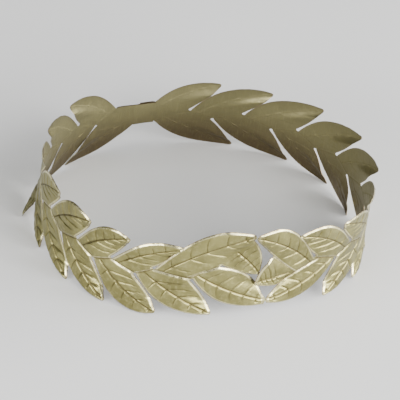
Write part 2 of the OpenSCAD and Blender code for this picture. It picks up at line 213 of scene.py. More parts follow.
def oval(a):
    a = np.radians(a)
    full = 1 + RING_FULLNESS * np.sin(2 * a) ** 2
    return np.stack([full * RING_HALF_W * np.sin(a), full * RING_HALF_D * np.cos(a)], -1)


OVAL_STEP = 2.0
OVAL_ANGLES = np.arange(0.0, 204.0, OVAL_STEP)
OVAL_RUN = np.concatenate(
    [[0.0], np.cumsum(np.linalg.norm(np.diff(oval(OVAL_ANGLES), axis=0), axis=1))])
HALF_RING = OVAL_RUN[int(180 / OVAL_STEP)]


def oval_angle(u):
    return np.sign(u) * np.interp(np.abs(u), OVAL_RUN, OVAL_ANGLES)


def front_share(u):
    return (1 + np.cos(np.pi * np.minimum(1, np.abs(HALF_RING - u) / FRONT_REACH))) / 2


def stem_z(side, u):
    back, front = STEM_Z[side]
    return WREATH_H * mix(back, front, ease(u / HALF_RING))


def v_at(side, u, z):
    return side * (z - stem_z(side, u))


def lean(z):
    share = 2 * z / WREATH_H - 1
    return np.where(share > 0, LEAN_TOP, LEAN_BOTTOM) * share ** 2


def bend(side, u, v, out):
    """Points of the flat drawing in their places on the ring, in mm."""
    a = oval_angle(u)
    along = oval(a + 0.5) - oval(a - 0.5)
    along /= np.linalg.norm(along, axis=-1, keepdims=True)
    z = stem_z(side, u) + side * v
    tab_step = 0 if side == RIGHT else -LAP_STEP * (1 - ease((u - BACK_LAP - LAP_REST) / LAP_RAMP))
    outward = (out + lean(z) + tab_step)[..., None]
    place = oval(a) + np.stack([-along[..., 1], along[..., 0]], -1) * outward
    front = front_share(u)
    return np.stack(
        [side * place[..., 0], place[..., 1] + FRONT_FLAT * front, z + FRONT_RISE * front], -1)


# The flat drawing of one leaf, turned so that its row leads

def near_tip(tip, leaf):
    return tip + TIP_W * np.array([TIP_SLANT * (2 - leaf.blunt), -TIP_SPAN * leaf.blunt])


def broad_edge(far, tip, swell, k):
    """A curve that leaves the foot steeply and swells before the tip."""
    length, rise = tip - far
    k = np.asarray(k)[..., None]
    j = 1 - k
    return (j ** 3 * far + 3 * j * j * k * (far + np.array(BROAD_HANDLE) * [length, rise])
            + 3 * j * k * k * (tip + np.array([-TIP_HANDLE * length, swell * rise])) + k ** 3 * tip)


def leaf_edges(far, near, leaf, tip, k):
    """Broad edge, midrib and narrow edge of a leaf at the shares k."""
    return (
        broad_edge(far, tip, leaf.swell, k ** BROAD_SLANT),
        bowed(mix(far, near, RIB_START), mix(tip, near_tip(tip, leaf), 0.5),
              RIB_BOW + RIB_BOW_SWELL * leaf.swell, k),
        bowed(near, near_tip(tip, leaf), -leaf.belly, k ** NARROW_SLANT))


def end_edges(a, b, end, tip, k):
    """The same lines of the leaf at a branch's end."""
    lead = bowed(a, tip, end.broad_bow, k)
    trail = bowed(b, tip + TIP_W * END_TIP_CUT, -end.narrow_bow, k)
    return lead, mix(lead, trail, mix(end.rib_start, 0.5, k)[:, None]), trail


def turned(points):
    """A drawing of a trailing leaf turned back over."""
    return points * np.array([1.0, -1.0])


def slant(edge, rib):
    """Sine of the angle at which the rows of a net meet an edge, smoothed along it."""
    tangent = np.gradient(edge, axis=0)
    row = edge - rib
    cross = np.abs(tangent[:, 0] * row[:, 1] - tangent[:, 1] * row[:, 0])
    sine = cross / np.maximum(
        np.linalg.norm(tangent, axis=1) * np.linalg.norm(row, axis=1), 1e-6)
    padded = np.pad(sine, SLANT_SMOOTH // 2, mode="edge")
    window = np.full(SLANT_SMOOTH, 1 / SLANT_SMOOTH)
    return np.clip(np.convolve(padded, window, "valid"), LEAST_SLANT, 1.0)


def column_places(width, sine):
    """Distances of the columns from the midrib, close together at the rib and the edge."""
    inner = RIB_COLUMNS * np.minimum(1, RIB_MOST * width / RIB_COLUMNS[-1])[:, None]
    roll = EDGE_COLUMNS / sine[:, None]
    outer = width[:, None] - roll * np.minimum(1, EDGE_MOST * width / roll[:, 0])[:, None]
    middle = mix(inner[:, -1:], outer[:, :1],
                 np.arange(1, MIDDLE_COLUMNS + 1) / (MIDDLE_COLUMNS + 1))
    return np.concatenate([inner, middle, outer], 1)


def hash_of(*numbers):
    """A fixed number between 0 and 1 for each leaf."""
    return math.modf(abs(math.sin(sum((i + 1) * 12.9898 * n for i, n in enumerate(numbers)))
                         * 43758.5453))[0]


def row_shares(key):
    """Shares of the rows, close together at each side vein, and the veins' own shares."""
    uneven = np.array([VEIN_UNEVEN * (hash_of(key, i, VEIN_SALT) - 0.5) for i in range(VEINS)])
    veins = (np.arange(VEINS) + 0.5 + uneven) / VEINS
    rows = (veins[:, None] + VEIN_ROWS / VEINS).ravel()
    rows = np.concatenate([[0.0], rows[1:], [TIP_ROW, 1.0]])
    return np.unique(np.clip(rows, 0, 1)), veins


def rounded_tip(grid, rib, shares):
    """The net with its blunt tip slightly round."""
    tip_row = grid[-1, -1] - grid[-1, 0]
    ahead = np.array([-tip_row[1], tip_row[0]])
    if ahead @ (rib[-1] - rib[-4]) < 0:
        ahead = -ahead
    across = np.sin(np.pi * np.linspace(0, 1, grid.shape[1]))
    round_off = ease((shares - TIP_ROUND_FROM) / (1 - TIP_ROUND_FROM))[:, None] * across
    return grid + (round_off * TIP_ROUND)[..., None] * ahead


def vein_distance(grid, shares, veins):
    """Distance of the net's points from the nearest side vein, square to it."""
    step = np.gradient(grid, shares, axis=0)
    row = np.gradient(grid, axis=1)
    row /= np.maximum(np.linalg.norm(row, axis=-1, keepdims=True), 1e-9)
    per_share = np.abs(step[..., 0] * row[..., 1] - step[..., 1] * row[..., 0])
    gap = np.abs(shares[:, None] - veins[None]).min(1)
    return gap[:, None] * np.maximum(per_share, LEAST_ROW)


# Points and lines

def distance(points, line):
    """Distance of each point from a line of straight pieces."""
    p, a, b = points[:, None], line[None, :-1], line[None, 1:]
    d = b - a
    t = np.clip(((p - a) * d).sum(-1) / np.maximum((d * d).sum(-1), 1e-12), 0, 1)
    return np.sqrt((((a + d * t[..., None]) - p) ** 2).sum(-1).min(1))


def even_line(p, q, cell=STEM_CELL):
    """Points between p and q, both left out."""
    n = max(2, int(round(np.linalg.norm(q - p) / cell)))
    k = np.arange(1, n) / n
    return p + (q - p) * k[:, None]


def is_inside(points, outline):
    a, b = outline, np.roll(outline, -1, 0)
    px, py = points[:, None, 0], points[:, None, 1]
    crosses = (a[None, :, 1] > py) != (b[None, :, 1] > py)
    height = np.where(b[:, 1] == a[:, 1], 1e-9, b[:, 1] - a[:, 1])
    at = a[None, :, 0] + (py - a[None, :, 1]) / height * (b - a)[None, :, 0]
    return (crosses & (px < at)).sum(1) % 2 == 1


def kept_inside(points, outline, gap, others, gap_others):
    """Those of the points that lie inside the outline, clear of it and of the others."""
    kept = []
    closed = np.concatenate([outline, outline[:1]])
    for part in np.array_split(points, CHUNKS):
        part = part[is_inside(part, outline)]
        if len(part):
            part = part[distance(part, closed) > gap]
        if len(part):
            apart = np.linalg.norm(part[:, None] - others[None], axis=-1).min(1)
            kept.append(part[apart > gap_others])
    return np.concatenate(kept)


def thinned(points, gap, recent=400):
    """The points without those that fall close to a recent one."""
    chosen = []
    for point in points:
        if not chosen or min(math.dist(point, q) for q in chosen[-recent:]) > gap:
            chosen.append(point)
    return np.array(chosen)


# The flat drawing of a branch

def stem_start(side):
    """Where the plain start of the stem begins, and u and height at which it ends at the leading
    and at the trailing row."""
    top_z, bottom_z = (TAB_MIDDLE * WREATH_H + TAB_H / 2, TAB_MIDDLE * WREATH_H - TAB_H / 2)
    if side == RIGHT:
        return -BACK_LAP, (0.0, top_z), (1.0, bottom_z)
    return 0.0, (TAB_BOTTOM_L, bottom_z), (TAB_TOP_L, top_z)


def slot_arc(leaf, sign):
    """Round end of the slot after a leaf, from that leaf to the next."""
    r = SLOT_W / 2
    return np.stack([leaf.foot_end * HALF_RING + r * np.cos(ARC_ANGLES),
                     sign * (STEM_W / 2 - r * np.sin(ARC_ANGLES))], 1)


def leaf_feet(table, first, last_v):
    """The two ends of each leaf's foot on the stem."""
    feet = []
    for i, leaf in enumerate(table):
        slot = leaf.foot_end * HALF_RING
        far = first if i == 0 else (
            table[i - 1].foot_end * HALF_RING + SLOT_W / 2, STEM_W / 2)
        near = (slot, last_v) if i == len(table) - 1 else (slot - SLOT_W / 2, STEM_W / 2)
        feet.append((np.array(far), np.array(near)))
    return feet


class Branch:
    """Points and faces of a branch's flat drawing, and the lines that its relief follows.

    For each point, uv is its place, out is how far it stands out, cell is its leaf, vein is its
    distance from the nearest side vein and fade is how much of that vein is left there. The
    leaves lead and trail by turns, and each lies over the next one."""

    def __init__(self, side):
        self.side = side
        self.parts = {label: [] for label in ("uv", "out", "cell", "vein", "fade")}
        self.count = 0
        self.quads = []
        self.leaves = []
        self.draw_leaves()
        self.draw_end_leaf()
        self.draw_outline()
        self.draw_creases()
        self.set_lines()
        self.fill_stem()
        self.smooth_stem()
        self.set_stem_cells()

    def add(self, uv, out=0.0, cell=-1, vein=NO_VEIN, fade=0.0):
        """Adds points and returns their numbers."""
        uv = np.atleast_2d(uv)
        n = len(uv)
        self.parts["uv"].append(uv)
        for label, value in (("out", out), ("cell", cell), ("vein", vein), ("fade", fade)):
            self.parts[label].append(np.broadcast_to(np.asarray(value, float), (n,)).copy())
        self.count += n
        return np.arange(self.count - n, self.count)

    def values(self, label):
        """The array of all values of one kind."""
        if len(self.parts[label]) > 1:
            self.parts[label] = [np.concatenate(self.parts[label])]
        return self.parts[label][0]

    def points(self, numbers):
        return self.values("uv")[numbers]

    def net(self, lines, shares, veins, lead, curled, lift):
        """Adds the net of one leaf and returns the numbers of its points, row by row."""
        cell = len(self.leaves)
        edge_a, rib, edge_b = lines(shares)
        width_a = np.linalg.norm(edge_a - rib, axis=1)
        width_b = np.linalg.norm(edge_b - rib, axis=1)
        to_a = (edge_a - rib) / np.maximum(width_a, 1e-9)[:, None]
        to_b = (edge_b - rib) / np.maximum(width_b, 1e-9)[:, None]
        places_a = column_places(width_a, slant(edge_a, rib))
        places_b = column_places(width_b, slant(edge_b, rib))
        grid = np.concatenate([
            (rib[:, None] + to_a[:, None] * places_a[..., None])[:, ::-1],
            (rib[:, None] + to_b[:, None] * places_b[..., None])[:, 1:]], 1)
        reach = np.concatenate([places_a[:, ::-1], places_b[:, 1:]], 1)
        half = np.concatenate([np.repeat(width_a[:, None], places_a.shape[1], 1),
                               np.repeat(width_b[:, None], places_b.shape[1] - 1, 1)], 1)
        across = reach / np.maximum(half, 1e-9)
        grid = rounded_tip(grid, rib, shares)
        # Side veins bow towards the foot
        run = np.gradient(rib, axis=0)
        run /= np.linalg.norm(run, axis=1, keepdims=True)
        bow = VEIN_BOW * half * 4 * across * (1 - across)
        bow *= (ease(shares / BOW_FADE_FOOT) * ease((1 - shares) / BOW_FADE_TIP))[:, None]
        grid = grid - bow[..., None] * run[:, None]
        curl = -curled * LEAF_CURL * ease(CURL_PACE * shares)[:, None] * (
            np.minimum(reach, CURL_WIDTH) / CURL_WIDTH) ** 2
        vein = vein_distance(grid, shares, veins)
        nearest = np.abs(shares[:, None] - veins[None]).argmin(1)
        ends = np.array([VEIN_LEAST + VEIN_SPREAD * hash_of(cell, i, FADE_SALT)
                         for i in range(VEINS)])
        fade = 1 - ease((across - ends[nearest][:, None] + VEIN_FADE_AHEAD) / VEIN_FADE)
        numbers = self.add(
            (grid if lead else turned(grid)).reshape(-1, 2),
            (curl + lift(shares)[:, None]).ravel(), cell, vein.ravel(),
            fade.ravel()).reshape(grid.shape[:2])
        a, b = numbers[:-1, :-1].ravel(), numbers[:-1, 1:].ravel()
        d, e = numbers[1:, :-1].ravel(), numbers[1:, 1:].ravel()
        quads = np.stack([a, b, e, d], 1)
        self.quads.append(quads if lead else quads[:, ::-1])
        return numbers

    def add_leaf(self, lines, lead, curled, lift, foot_end=None):
        """Adds a leaf with its net and its outline. A row is put at foot_end."""
        shares, veins = row_shares(self.side * LEAF_KEYS + len(self.leaves))
        if foot_end is not None:
            shares[np.argmin(np.abs(shares - foot_end))] = foot_end
        numbers = self.net(lines, shares, veins, lead, curled, lift)
        broad, rib, narrow = (line if lead else turned(line) for line in lines(FINE))
        self.leaves.append(dict(numbers=numbers, shares=shares, broad=broad, rib=rib,
                                narrow=np.concatenate([narrow, broad[-1:]])))

    def draw_leaves(self):
        side, end = self.side, END[self.side]
        _, (lead_u, lead_z), (trail_u, trail_z) = stem_start(side)
        rows = (
            (LEADING[side], 1, (lead_u, v_at(side, lead_u, lead_z)), LAST_LEAD_V,
             end.on_leading),
            (TRAILING[side], -1, (trail_u, -v_at(side, trail_u, trail_z)), LAST_TRAIL_V,
             end.on_trailing))
        for n in range(len(LEADING[side]) + len(TRAILING[side])):
            table, sign, first, last_v, on_it = rows[n % 2]
            leaf = table[n // 2]
            far, near = leaf_feet(table, first, last_v)[n // 2]
            u = leaf.tip_place * HALF_RING
            tip = np.array([u, sign * v_at(side, u, leaf.tip_height * WREATH_H)])
            self.add_leaf(
                lambda k: leaf_edges(far, near, leaf, tip, k), sign == 1, 1.0,
                lambda k: leaf.bent * tip[1] * k * k,
                on_it ** FOOT_SLANT if leaf is table[-1] else None)

    def draw_end_leaf(self):
        """The end leaf stands on the narrow edges of the last two, behind a short cut."""
        side, end = self.side, END[self.side]
        self.long_leaf, self.last = self.leaves[-2:]
        self.foot_row, self.lead_row = (
            int(np.argmin(np.abs(leaf["shares"] - share ** FOOT_SLANT)))
            for leaf, share in ((self.long_leaf, end.on_trailing),
                                (self.last, end.on_leading)))
        on_long = self.points(self.long_leaf["numbers"][self.foot_row, -1])
        on_last = self.points(self.last["numbers"][self.lead_row, -1])
        foot_a = on_last + SLOT_W / 2 * END_FOOT_A
        foot_b = on_long + SLOT_W / 2 * END_FOOT_B
        self.cut_point = on_last + SLOT_W / 2 * END_CUT
        u = end.tip_place * HALF_RING
        tip = np.array([u, v_at(side, u, end.tip_height * WREATH_H)])
        lap = LAP_STEP if side == RIGHT else 0.0
        self.add_leaf(lambda k: end_edges(foot_a, foot_b, end, tip, k), True, 0.0,
                      lambda k: lap * ease(4 * k))
        self.end_leaf = self.leaves[-1]

    def add_slot(self, n):
        """Adds the slot between leaf n and the next one of its row."""
        table, sign = (TRAILING, -1) if n % 2 else (LEADING, 1)
        arc = self.add(slot_arc(table[self.side][n // 2], sign))
        self.leaves[n]["arc_after"] = self.leaves[n + 2]["arc_before"] = arc
        return list(arc)

    def draw_outline(self):
        """Border of the stem, forwards along the leading leaves and back along the others."""
        start, *ends = stem_start(self.side)
        us = [np.arange(start, to - START_CLEAR, STEM_CELL) for to, _ in ends]
        lead_start, trail_start = (
            self.add(np.stack([u, v_at(self.side, u, z)], 1)) for u, (_, z) in zip(us, ends))
        loop = list(lead_start)
        last_lead, last_trail = len(self.leaves) - 2, len(self.leaves) - 3
        for n in range(0, last_lead + 1, 2):
            loop += list(self.leaves[n]["numbers"][0])
            loop += self.add_slot(n) if n < last_lead else []
        self.end_cut = self.add(self.cut_point)[0]
        loop += list(self.last["numbers"][1:self.lead_row + 1, -1]) + [self.end_cut]
        loop += list(self.end_leaf["numbers"][0])
        loop += list(self.long_leaf["numbers"][1:self.foot_row + 1, -1][::-1])
        for n in range(last_trail, 0, -2):
            loop += list(self.leaves[n]["numbers"][0][::-1])
            loop += self.add_slot(n - 2)[::-1] if n > 1 else []
        loop += list(trail_start[::-1])
        back = self.add(even_line(*self.points([trail_start[0], lead_start[0]])))
        self.loop = (loop + list(back))[::-1]
        self.start_numbers = [lead_start, trail_start, back]

    def draw_creases(self):
        """Lines across the stem where one leaf's foot lies over the next one's."""
        long_edge = self.long_leaf["numbers"][:, -1]
        corners = [self.leaves[1]["numbers"][0, 0]]
        corners += [leaf["arc_after"][ARC_MIDDLE] for leaf in self.leaves if "arc_after" in leaf]
        corners += [long_edge[0]]
        self.creases = [[a, *self.add(even_line(*self.points([a, b]))), b]
                        for a, b in zip(corners, corners[1:])]
        # The right branch's last leading foot almost reaches the long leaf
        if self.lead_row:
            b = self.last["numbers"][0, -1]
            away = np.linalg.norm(self.points(long_edge) - self.points([b]), axis=1)
            self.back_row = int(np.argmin(away))
            self.end_crease = [long_edge[self.back_row], b]
        else:
            self.back_row = SHORT_CREASE_ROW
            a, b = long_edge[self.back_row], self.end_cut
            self.end_crease = [a, *self.add(even_line(*self.points([a, b]))), b]
        self.crease_lines = [self.points(c) for c in self.creases]
        self.end_crease_line = self.points(self.end_crease)

    def set_lines(self):
        """Gives each leaf, with its foot on the stem, the lines that its relief follows."""
        for n, leaf in enumerate(self.leaves[:-1]):
            broad, narrow = leaf["broad"], leaf["narrow"]
            if "arc_before" in leaf:
                arc = self.points(leaf["arc_before"])
                broad = np.concatenate([arc[ARC_MIDDLE:], broad])
            if "arc_after" in leaf:
                arc = self.points(leaf["arc_after"])
                narrow = np.concatenate([arc[ARC_MIDDLE::-1], narrow])
            leaf["far_lines"] = [broad]
            leaf["near_lines"] = [narrow] + self.crease_lines[n:n + 1]
            leaf["rear_lines"] = self.crease_lines[max(n - 1, 0):n]
            leaf["crease_lines"] = self.crease_lines[max(n - 1, 0):n + 1]
        long_leaf, last, end_leaf = self.long_leaf, self.last, self.end_leaf
        long_edge = self.points(long_leaf["numbers"][:, -1])
        cut_line = self.points(
            [last["numbers"][self.lead_row, -1], self.end_cut, end_leaf["numbers"][0, 0]])
        shared = long_edge[self.back_row:self.foot_row + 1]
        last["rear_lines"] = [self.crease_lines[-1], long_edge[:self.back_row + 1]]
        last["near_lines"] += [self.end_crease_line]
        last["crease_lines"] += [self.end_crease_line]
        end_leaf["near_lines"] = [end_leaf["narrow"]]
        if self.lead_row:
            end_leaf["far_lines"] = [end_leaf["broad"], cut_line]
            end_leaf["rear_lines"] = [self.end_crease_line, shared,
                                      self.points(last["numbers"][:self.lead_row + 1, -1])]
        else:
            # Here the long leaf and the end leaf are one field with a faint line between them
            end_leaf["far_lines"] = [end_leaf["broad"], cut_line[1:]]
            end_leaf["rear_lines"] = [self.end_crease_line]
            last["near_lines"] += [cut_line[:2]]
            long_leaf["near_lines"][0] = long_edge[:self.back_row + 1]
            long_leaf["near_lines"] += [long_leaf["narrow"][-2:]]
            long_leaf["soft_lines"] = end_leaf["soft_lines"] = [shared]
        end_leaf["crease_lines"] = end_leaf["rear_lines"]

    def fill_stem(self):
        """Points inside the stem, denser beside the creases, and its triangles."""
        outline = self.points(self.loop)
        self.on_creases = np.concatenate(self.creases + [self.end_crease]).astype(int)
        crease_points = self.points(self.on_creases)
        beside = []
        for line in self.crease_lines + [self.end_crease_line]:
            d = line[-1] - line[0]
            square = np.array([-d[1], d[0]]) / np.linalg.norm(d)
            beside += [line[1:-1] + square * off for off in CREASE_SIDES]
        beside = thinned(
            kept_inside(np.concatenate(beside), outline, CREASE_APART,
                        crease_points, CREASE_APART), CREASE_SIDES_APART)
        us = np.arange(stem_start(self.side)[0] + STEM_CELL, GRID_END * HALF_RING, STEM_CELL)
        vs = np.arange(-GRID_ROWS_AT_END, GRID_ROWS_AT_END + 1) * STEM_CELL
        grid = np.stack(np.meshgrid(us, vs, indexing="ij"), -1)
        grid[1::2, :, 1] += STEM_CELL / 2
        grid = grid[(np.abs(vs) < (GRID_ROWS + 0.5) * STEM_CELL)
                    | (us[:, None] > GRID_END_FROM * HALF_RING)]
        grid = kept_inside(grid, outline, GRID_FROM_EDGE,
                           np.concatenate([crease_points, beside]), GRID_APART)
        self.inner_numbers = self.add(np.concatenate([beside, grid]))

        numbers = np.concatenate([self.loop, self.on_creases, self.inner_numbers]).astype(int)
        numbers = np.unique(numbers)
        place = {n: i for i, n in enumerate(numbers)}
        edges = [(place[a], place[b]) for crease in self.creases + [self.end_crease]
                 for a, b in zip(crease, crease[1:])]
        result = delaunay_2d_cdt([Vector(p) for p in self.points(numbers)], edges,
                                 [[place[n] for n in self.loop]], INSIDE_ONLY, MERGE_WITHIN)
        faces, origins = result[2], result[3]
        triangles = np.array([[int(numbers[origins[i][0]]) for i in face] for face in faces])
        p = self.points(triangles)
        area = ((p[:, 1, 0] - p[:, 0, 0]) * (p[:, 2, 1] - p[:, 0, 1])
                - (p[:, 1, 1] - p[:, 0, 1]) * (p[:, 2, 0] - p[:, 0, 0]))
        triangles[area < 0] = triangles[area < 0][:, ::-1]
        self.triangles = triangles

    def smooth_stem(self):
        """Makes the stem follow the curled edges of the leaves smoothly."""
        out, end_net = self.values("out"), self.end_leaf["numbers"]
        corners = self.triangles
        pairs = np.concatenate([corners[:, [0, 1]], corners[:, [1, 2]], corners[:, [2, 0]]] + [
            np.stack([end_net[:-1].ravel(), end_net[1:].ravel()], 1),
            np.stack([end_net[:, :-1].ravel(), end_net[:, 1:].ravel()], 1)])
        pairs = np.concatenate([pairs, pairs[:, ::-1]])
        degree = np.maximum(np.bincount(pairs[:, 0], minlength=len(out)), 1)
        free = np.setdiff1d(np.concatenate([self.on_creases, self.inner_numbers]), self.loop)
        if self.side == LEFT:
            free_rows = self.end_leaf["shares"] < SMOOTH_END_SHARE
            free = np.concatenate([free, end_net[free_rows].ravel()])
        for _ in range(SMOOTH_ROUNDS):
            out[free] = (np.bincount(pairs[:, 0], out[pairs[:, 1]], len(out)) / degree)[free]

    def set_stem_cells(self):
        """The leaf of a point on the stem is the number of creases behind it."""
        stem = np.concatenate([self.on_creases, self.inner_numbers, *self.start_numbers])
        places = self.points(stem)
        passed = np.zeros(len(stem))
        for line in self.crease_lines:
            (u0, v0), (u1, v1) = line[0], line[-1]
            v = np.clip(places[:, 1], min(v0, v1), max(v0, v1))
            passed += places[:, 0] > u0 + (u1 - u0) * (v - v0) / (v1 - v0)
        (u0, v0), (u1, v1) = self.end_crease_line[0], self.end_crease_line[-1]
        beyond = (places[:, 1] - v0) * (u1 - u0) - (places[:, 0] - u0) * (v1 - v0)
        long_cell = len(self.leaves) - 3
        self.values("cell")[stem] = np.where(
            passed > long_cell, long_cell + 1 + (beyond < 0), passed)


# Relief

def hammered(side, uv):
    """Unevenness of the sheet, mostly between -1 and 1. It fades where the branches lap."""
    u, v = uv[:, 0], uv[:, 1]
    total = sum(np.sin(a * u + b * v + c + SIDE_PHASE * side
                       + WARP * np.sin(WARP_U * u + WARP_V * v + c))
                for a, b, c in WAVES) / WAVES_DIVISOR
    return (total * ease((u - EVEN_BACK) / EVEN_BACK_FADE)
            * (1 - ease((u / HALF_RING - EVEN_FRONT) / EVEN_FRONT_FADE)))


def leaf_relief(leaf, p, vein, fade, strength):
    """Relief of one leaf at its points p: heights of the rolled edges, of the crown and hollow
    and of the grooves, and the values that the colours follow."""

    def gap(label):
        lines = leaf.get(label)
        return (np.min([distance(p, line) for line in lines], axis=0) if lines
                else np.full(len(p), NO_LINE))

    far, near, rear, soft, crease = (gap(label) for label in (
        "far_lines", "near_lines", "rear_lines", "soft_lines", "crease_lines"))
    level = (np.clip(far / BROAD_ROLL, 0, 1) * np.clip(near / NARROW_ROLL, 0, 1)
             * (1 - (1 - np.clip(rear / REAR_RISE, 0, 1)) ** 2)
             * (1 - SOFT_STEP * (1 - np.clip(soft / SOFT_REACH, 0, 1))))
    edge, rear = np.minimum(far, near), np.minimum(rear, soft)
    start, back = leaf["rib"][0], leaf["rib"][0] - leaf["rib"][4]
    reach = RIB_BEHIND if leaf["rear_lines"] else FIRST_RIB_BEHIND
    rib = distance(p, np.concatenate([
        [start + reach * back / np.linalg.norm(back)], leaf["rib"]]))
    field = ease((edge - FIELD_FROM) / FIELD_FADE) * ease(rear / REAR_FADE)
    rib_cut = bell(rib, RIB_HALF) * ease(edge / GROOVE_FADE) * ease(rear / GROOVE_FADE)
    vein_cut = bell(vein, VEIN_HALF) * field * strength * fade
    vein_cut *= 1 - bell(rib, VEIN_OFF_RIB)
    ridges = (bell(rib - RIB_FLANK[0], RIB_FLANK[1]) * ease(rear / GROOVE_FADE)
              + VEIN_FLANK_SHARE * bell(vein - VEIN_FLANK[0], VEIN_FLANK[1])
              * (1 - rib_cut) * fade)
    grooves = (-RIB_DEPTH * rib_cut - VEIN_DEPTH * vein_cut * (1 - rib_cut)
               + FLANK * ridges * field)
    shallow = (-PILLOW * (1 - ease(vein / PILLOW_REACH)) * strength
               * (FLAT_FIELD + (1 - FLAT_FIELD) * fade)
               - TROUGH * (1 - ease(rib / TROUGH_REACH))) * field
    # Tarnish and painted shade in the grooves, and painted shade at the rear and in the creases
    tarnish_and_shade = np.clip(DARK_RIB * rib_cut + DARK_VEIN * vein_cut
                   + REAR_PAINTED_SHADE * bell(rear, REAR_SHADE) * (soft > SOFT_CLEAR)
                   + CREASE_PAINTED_SHADE * bell(crease, CREASE_SHADE), 0, 1)
    rim = np.where(crease < edge + NEAR_CREASE, NO_RIM, edge)
    return -EDGE_DROP * (1 - level), shallow, grooves, tarnish_and_shade, edge, rim


def relief_of(branch):
    """Heights of the outer and the inner face, and the values that the colours follow."""
    uv, cell, vein, fade, base = (
        branch.values(label) for label in ("uv", "cell", "vein", "fade", "out"))
    roll = np.full(branch.count, -EDGE_DROP)
    shallow, grooves, tarnish_and_shade, edge, rim = np.zeros((5, branch.count))
    for n, leaf in enumerate(branch.leaves):
        at = np.nonzero(cell == n)[0]
        roll[at], shallow[at], grooves[at], tarnish_and_shade[at], edge[at], rim[at] = leaf_relief(
            leaf, uv[at], vein[at], fade[at],
            STRENGTH + STRENGTH_SPREAD * hash_of(branch.side, n, STRENGTH_SALT))
    uneven = HAMMER * hammered(branch.side, uv)
    outer = base + roll + shallow + grooves + uneven
    inner = base - SHEET_T + ROLL_INSIDE * roll + HAMMER_INSIDE * uneven
    inner -= LEAST_T_SOFT * np.logaddexp(0, (inner - outer + LEAST_T) / LEAST_T_SOFT)
    # The first colour value holds tarnish and painted shade in the grooves, and painted shade in
    # the creases
    return outer, inner, {"groove": tarnish_and_shade, "edge_gap": edge, "rim_gap": rim}


# Middle of the CAD model's base in the coordinates of this drawing, in mm
ORIGIN = np.array([0.1305, 0.3130, -0.0143])
OUTER, RIM, INNER = 0.0, 0.5, 1.0  # kinds of face
SHARP_ANGLE = math.radians(42)


def build_branch(side, name):
    branch = Branch(side)
    outer, inner, tones = relief_of(branch)
    u, v = branch.values("uv").T
    count = branch.count
    place = np.concatenate([bend(side, u, v, outer), bend(side, u, v, inner)]) - ORIGIN

    flat = np.concatenate(branch.quads).tolist() + branch.triangles.tolist()
    edges = dict.fromkeys((a, b) for face in flat for a, b in zip(face, face[1:] + face[:1]))
    rim = [(a, b) for a, b in edges if (b, a) not in edges]
    faces = [f[::-1] for f in flat]
    faces += [[i + count for i in f] for f in flat]
    faces += [[a, b, b + count, a + count] for a, b in rim]
    kinds = [OUTER] * len(flat) + [INNER] * len(flat) + [RIM] * len(rim)

    mesh = bpy.data.meshes.new(name)
    used = np.unique(np.concatenate([np.array(f) for f in faces]))
    renumber = -np.ones(2 * count, int)
    renumber[used] = np.arange(len(used))
    faces = [[int(renumber[i]) for i in f] for f in faces]
    mesh.from_pydata((place[used] * MM).tolist(), [], faces)
    for label, values in tones.items():
        layer = mesh.attributes.new(label, "FLOAT", "POINT")
        layer.data.foreach_set("value", np.tile(values, 2)[used].astype(np.float32))
    layer = mesh.attributes.new("face_kind", "FLOAT", "FACE")
    layer.data.foreach_set("value", np.array(kinds, np.float32))
    mesh.validate()
    mesh.shade_smooth()
    mesh.set_sharp_from_angle(angle=SHARP_ANGLE)
    piece = bpy.data.objects.new(name, mesh)
    bpy.context.scene.collection.objects.link(piece)
    return piece


# Material

class Nodes:
    """Short calls for the nodes of one material."""

    def __init__(self, name):
        self.material = bpy.data.materials.new(name)
        self.material.use_nodes = True
        self.tree = self.material.node_tree
        self.shader = self.tree.nodes["Principled BSDF"]

    def new(self, kind, values=None, **links):
        node = self.tree.nodes.new(kind)
        for key, value in (values or {}).items():
            if key in node.inputs.keys():
                node.inputs[key].default_value = value
            else:
                setattr(node, key, value)
        for key, source in links.items():
            self.tree.links.new(source, node.inputs[key])
        return node

    def fill(self, node, pairs):
        """Sets the node's numbered inputs to numbers, colours or links."""
        for slot, value in pairs:
            if isinstance(value, float):
                node.inputs[slot].default_value = value
            elif isinstance(value, tuple):
                node.inputs[slot].default_value = (*value, 1.0)
            else:
                self.tree.links.new(value, node.inputs[slot])

    def noise(self, place, scale, detail=4.0, roughness=0.6):
        return self.new("ShaderNodeTexNoise", {
            "Scale": scale, "Detail": detail, "Roughness": roughness},
            Vector=place).outputs["Fac"]

    def attribute(self, label):
        return self.new("ShaderNodeAttribute", {"attribute_name": label}).outputs["Fac"]

    def span(self, value, low, high, to_low=0.0, to_high=1.0):
        return self.new("ShaderNodeMapRange", {
            "From Min": low, "From Max": high, "To Min": to_low, "To Max": to_high,
            "interpolation_type": "SMOOTHSTEP"}, Value=value).outputs["Result"]

    def math(self, operation, a, b):
        node = self.new("ShaderNodeMath", {"operation": operation})
        self.fill(node, ((0, a), (1, b)))
        return node.outputs[0]

    def blend(self, share, a, b):
        node = self.new("ShaderNodeMix", {"data_type": "RGBA"})
        self.fill(node, ((0, share), (6, a), (7, b)))
        return node.outputs[2]

    def total(self, first, *shares):
        """The first value and each further value times its share."""
        for value, share in shares:
            first = self.math("ADD", first, self.math("MULTIPLY", value, share))
        return first


